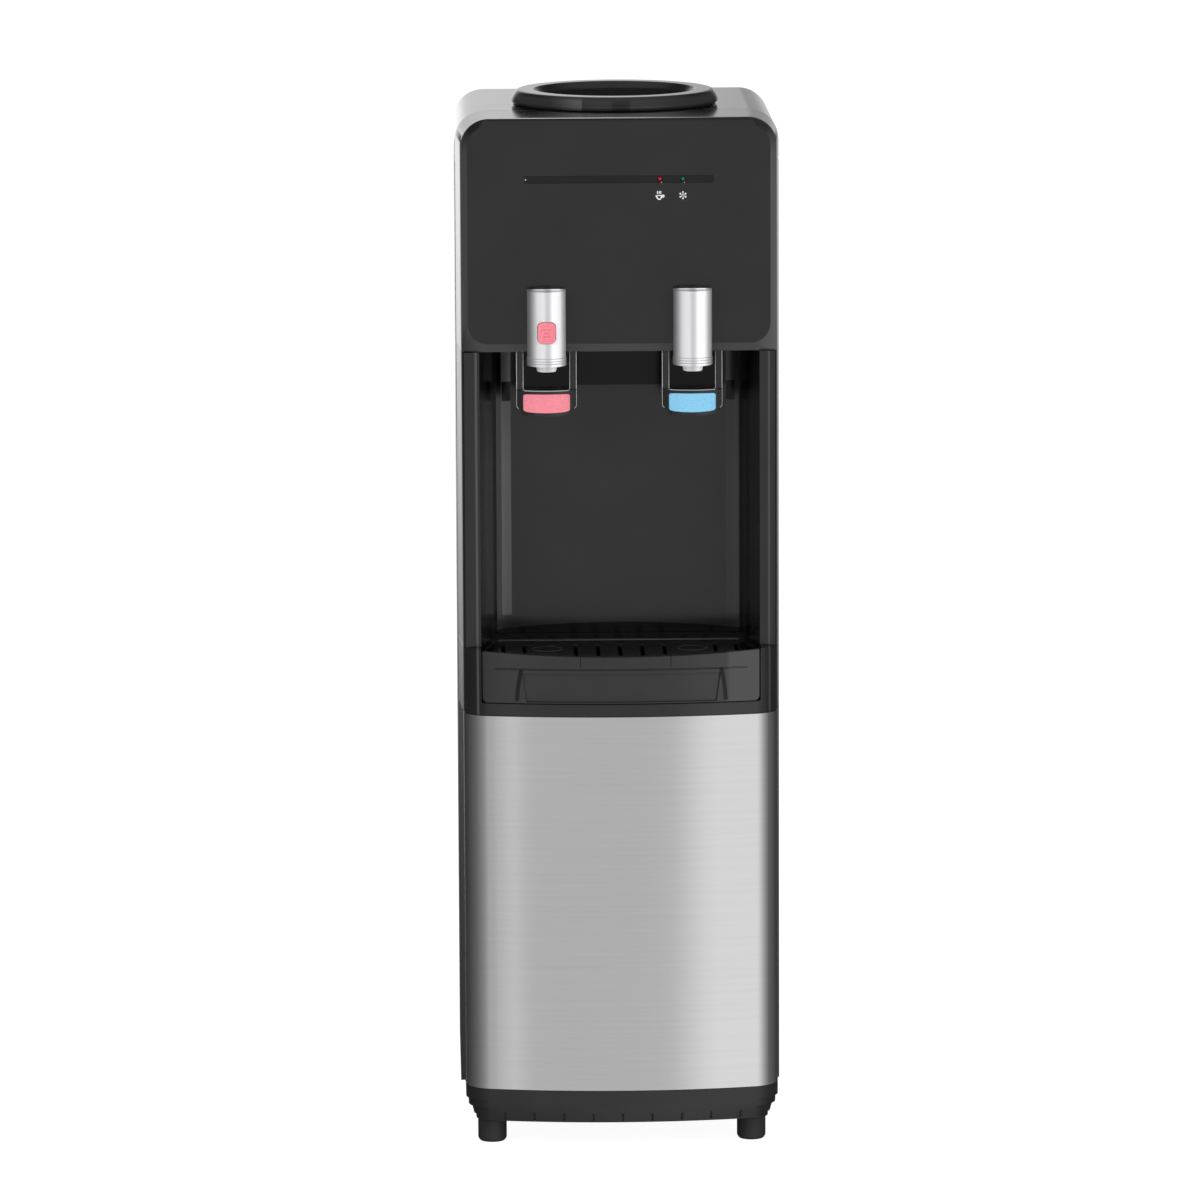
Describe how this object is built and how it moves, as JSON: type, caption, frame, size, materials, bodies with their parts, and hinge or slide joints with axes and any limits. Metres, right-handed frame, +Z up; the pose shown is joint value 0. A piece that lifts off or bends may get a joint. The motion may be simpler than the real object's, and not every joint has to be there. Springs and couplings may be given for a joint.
{
  "type": "top load water cooler",
  "caption": "Free-standing top loading water cooler with hot and cold push taps, an alcove with a drip tray, and a round bottle seat on top.",
  "frame": {"origin": "on the floor under the middle of the cooler's bounding box", "axes": "+Z up, -Y out of the front with the taps, +X to the right of someone facing the taps"},
  "size_m": [0.313, 0.36, 1.0178],
  "materials": {
    "black_plinth": "satin",
    "foot_rubber": "matte",
    "painted_steel": "satin",
    "cover_plastic": "gloss",
    "front_plastic": "gloss",
    "liner_plastic": "satin",
    "display_plastic": "gloss",
    "red_lens": "gloss",
    "green_lens": "gloss",
    "circuit_board": "gloss",
    "stainless": "brushed",
    "satin_silver": "satin",
    "brass": "satin",
    "bright_steel": "satin",
    "lever_plastic": "gloss",
    "pink_plastic": "satin",
    "blue_plastic": "satin",
    "white_plastic": "satin",
    "tray_plastic": "satin",
    "grille_plastic": "gloss",
    "collar_plastic": "gloss",
    "tank_steel": "satin",
    "foam": "matte",
    "copper": "satin",
    "zinc_sheet": "satin",
    "black_plastic": "satin",
    "black_enamel": "satin",
    "silicone": "satin",
    "red_switch": "gloss",
    "green_switch": "gloss"
  },
  "bodies": {
    "cabinet": {"base_tray": "black_plinth", "feet": "foot_rubber", "left_side_panel": "painted_steel", "right_side_panel": "painted_steel", "rear_panel": "painted_steel", "top_cover": "cover_plastic", "upper_front_panel": "front_plastic", "display_strip": "display_plastic", "hot_lamp": "red_lens", "cold_lamp": "green_lens", "lamp_board": "circuit_board", "alcove_liner": "liner_plastic", "tray_surround": "liner_plastic", "lower_front_frame": "black_plinth", "lower_front_panel": "stainless", "hot_tap_body": "satin_silver", "cold_tap_body": "satin_silver", "tap_nozzles": "satin_silver", "tap_nuts": "brass", "lever_brackets": "bright_steel", "lever_pins": "bright_steel", "bottle_funnel": "white_plastic", "water_probe": "white_plastic", "funnel_seal": "foot_rubber", "cold_tank": "tank_steel", "cold_tank_jacket": "foam", "evaporator_coil": "copper", "cold_shelf": "zinc_sheet", "hot_tank": "tank_steel", "hot_tank_jacket": "foam", "heater_band": "zinc_sheet", "thermostats": "black_plastic", "hot_shelf": "zinc_sheet", "compressor": "black_enamel", "compressor_mounts": "foot_rubber", "relay_cover": "black_plastic", "filter_drier": "copper", "refrigerant_pipes": "copper", "condenser_tube": "black_enamel", "condenser_wires": "black_enamel", "condenser_brackets": "black_enamel", "cold_hose": "silicone", "hot_pipe": "silicone", "feed_hose": "silicone", "drain_pipe": "silicone", "switch_housings": "black_plastic", "cord_gland": "black_plastic"},
    "hot_lever": {"hot_lever": "lever_plastic", "hot_lever_pad": "pink_plastic"},
    "cold_lever": {"cold_lever": "lever_plastic", "cold_lever_pad": "blue_plastic"},
    "hot_valve": {"hot_valve_stem": "white_plastic"},
    "cold_valve": {"cold_valve_stem": "white_plastic"},
    "lock_button": {"lock_button": "pink_plastic"},
    "drip_tray": {"drip_tray": "tray_plastic"},
    "drip_grille": {"drip_grille": "grille_plastic"},
    "bottle_collar": {"bottle_collar": "collar_plastic"},
    "hot_switch": {"hot_switch": "red_switch"},
    "cold_switch": {"cold_switch": "green_switch"},
    "drain_cap": {"drain_cap": "black_plastic"}
  },
  "joints": [
    {"name": "hot_lever_swing", "type": "hinge", "parent": "cabinet", "child": "hot_lever", "pos_m": [-0.07, -0.131, 0.792], "axis": [1, 0, 0], "range_deg": [0, 12], "stiffness_Nm_per_rad": 0.8, "springref_deg": -17.19},
    {"name": "cold_lever_swing", "type": "hinge", "parent": "cabinet", "child": "cold_lever", "pos_m": [0.07, -0.131, 0.792], "axis": [1, 0, 0], "range_deg": [0, 12], "stiffness_Nm_per_rad": 0.8, "springref_deg": -17.19},
    {"name": "hot_valve_slide", "type": "slide", "parent": "cabinet", "child": "hot_valve", "axis": [0, -1, 0], "range_m": [0, 0.0043]},
    {"name": "cold_valve_slide", "type": "slide", "parent": "cabinet", "child": "cold_valve", "axis": [0, -1, 0], "range_m": [0, 0.0043]},
    {"name": "hot_lock_press", "type": "slide", "parent": "cabinet", "child": "lock_button", "axis": [0, 1, 0], "range_m": [0, 0.003], "stiffness_N_per_m": 300, "springref_m": -0.002},
    {"name": "tray_pull", "type": "slide", "parent": "cabinet", "child": "drip_tray", "axis": [0, -1, 0], "range_m": [0, 0.12]},
    {"name": "grille_lift", "type": "slide", "parent": "drip_tray", "child": "drip_grille", "axis": [0, 0, 1], "range_m": [0, 0.04]},
    {"name": "collar_lift", "type": "slide", "parent": "cabinet", "child": "bottle_collar", "axis": [0, 0, 1], "range_m": [0, 0.05]},
    {"name": "hot_switch_rock", "type": "hinge", "parent": "cabinet", "child": "hot_switch", "pos_m": [0.112, 0.152, 0.2795], "axis": [1, 0, 0], "range_deg": [-14, 0]},
    {"name": "cold_switch_rock", "type": "hinge", "parent": "cabinet", "child": "cold_switch", "pos_m": [0.09, 0.152, 0.2795], "axis": [1, 0, 0], "range_deg": [-14, 0]},
    {"name": "drain_cap_off", "type": "slide", "parent": "cabinet", "child": "drain_cap", "axis": [0, 1, 0], "range_m": [0, 0.02]}
  ],
  "couplings": [
    {"joint": "hot_valve_slide", "follows": "hot_lever_swing", "m_per_rad": 0.0204},
    {"joint": "cold_valve_slide", "follows": "cold_lever_swing", "m_per_rad": 0.0204}
  ]
}
